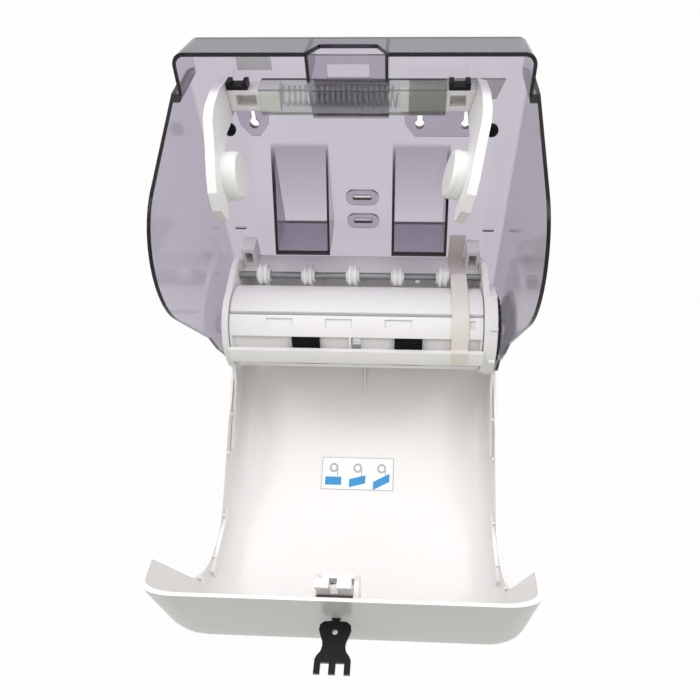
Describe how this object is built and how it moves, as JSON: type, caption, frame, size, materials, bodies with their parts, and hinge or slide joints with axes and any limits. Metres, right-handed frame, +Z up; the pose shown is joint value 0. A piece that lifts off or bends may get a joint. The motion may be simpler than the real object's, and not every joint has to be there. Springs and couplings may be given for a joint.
{
  "type": "autocut towel dispenser",
  "caption": "Wall towel dispenser, cover open: translucent back case, sprung roll arms, cutting drum with pinch rollers and a hinged bowed cover with latch and key.",
  "frame": {"origin": "on the wall, midway between the two outer wall screws", "axes": "+X to the right seen from the front, +Y into the wall, +Z up"},
  "size_m": [0.3, 0.4235, 0.4285],
  "materials": {
    "smoke_shell": "translucent moulded ABS, lavender grey",
    "rail_grey": "translucent grey-green",
    "white_cover": "smooth white ABS",
    "white_frame": "moulded white",
    "drum_white": "moulded white, a little greyer",
    "milky": "natural acetal",
    "black_plastic": "moulded black",
    "dark_wheel": "dark grey acetal",
    "grip_rubber": "ribbed rubber",
    "steel": "bright zinc or ground steel",
    "paper": "coated paper",
    "tape_film": "cream packing film"
  },
  "bodies": {
    "case": {"back_shell": "smoke_shell", "wall_plugs": "black_plastic", "blank_sticker": "paper", "slide_rail": "rail_grey", "arm_spring": "steel", "chassis": "white_frame", "left_post": "white_frame", "right_post": "white_frame", "left_frame": "white_frame", "right_frame": "white_frame", "axle_bushes": "milky", "front_guide": "white_frame", "frame_screws": "steel", "drive_spring": "steel", "transit_tape": "tape_film"},
    "left_holder": {"left_carrier": "milky", "left_arm": "white_frame", "left_clip": "black_plastic"},
    "right_holder": {"right_carrier": "milky", "right_arm": "white_frame", "right_clip": "black_plastic"},
    "pinch": {"pinch_shaft": "steel", "pinch_rollers": "white_frame"},
    "drum": {"drum_panel": "drum_white", "drum_bar": "drum_white", "grip_tray": "drum_white", "rubber_grips": "grip_rubber", "drum_clip": "steel", "left_drum_end": "white_frame", "right_drum_end": "white_frame", "feed_wheel": "dark_wheel", "crank_arm": "dark_wheel"},
    "knife": {"knife_carrier": "black_plastic", "serrated_blade": "steel"},
    "cover": {"front_cover": "white_cover", "hinge_pins": "steel", "instruction_label": "paper", "lock_housing": "white_cover", "latch_spring": "steel"},
    "latch": {"latch": "white_cover"},
    "key": {"key": "black_plastic"}
  },
  "joints": [
    {"name": "cover_hinge", "type": "hinge", "parent": "case", "child": "cover", "pos_m": [0, -0.085, -0.224], "axis": [-1, 0, 0], "range_deg": [0, 86]},
    {"name": "left_arm_slide", "type": "slide", "parent": "case", "child": "left_holder", "axis": [-1, 0, 0], "range_m": [0, 0.016], "stiffness_N_per_m": 400, "springref_m": -0.02, "deforming": ["arm_spring"]},
    {"name": "right_arm_slide", "type": "slide", "parent": "case", "child": "right_holder", "axis": [1, 0, 0], "range_m": [0, 0.016], "stiffness_N_per_m": 400, "springref_m": -0.02, "deforming": ["arm_spring"]},
    {"name": "drum_spin", "type": "hinge", "parent": "case", "child": "drum", "pos_m": [0, -0.085, -0.184], "axis": [1, 0, 0], "continuous": true, "deforming": ["drive_spring"]},
    {"name": "pinch_spin", "type": "hinge", "parent": "case", "child": "pinch", "pos_m": [0, -0.0458, -0.14614], "axis": [1, 0, 0], "continuous": true},
    {"name": "knife_swing", "type": "hinge", "parent": "drum", "child": "knife", "pos_m": [0, -0.07074, -0.15577], "axis": [-1, 0, 0], "range_deg": [0, 11], "stiffness_Nm_per_rad": 0.5, "springref_deg": -17.19},
    {"name": "latch_slide", "type": "slide", "parent": "cover", "child": "latch", "axis": [0, 0.9976, -0.0698], "range_m": [0, 0.004], "stiffness_N_per_m": 300, "springref_m": -0.004, "deforming": ["latch_spring"]},
    {"name": "key_slide", "type": "slide", "parent": "cover", "child": "key", "axis": [0, -0.9976, 0.0698], "range_m": [0, 0.02]}
  ],
  "couplings": [
    {"joint": "pinch_spin", "follows": "drum_spin", "ratio": -3.8393}
  ]
}
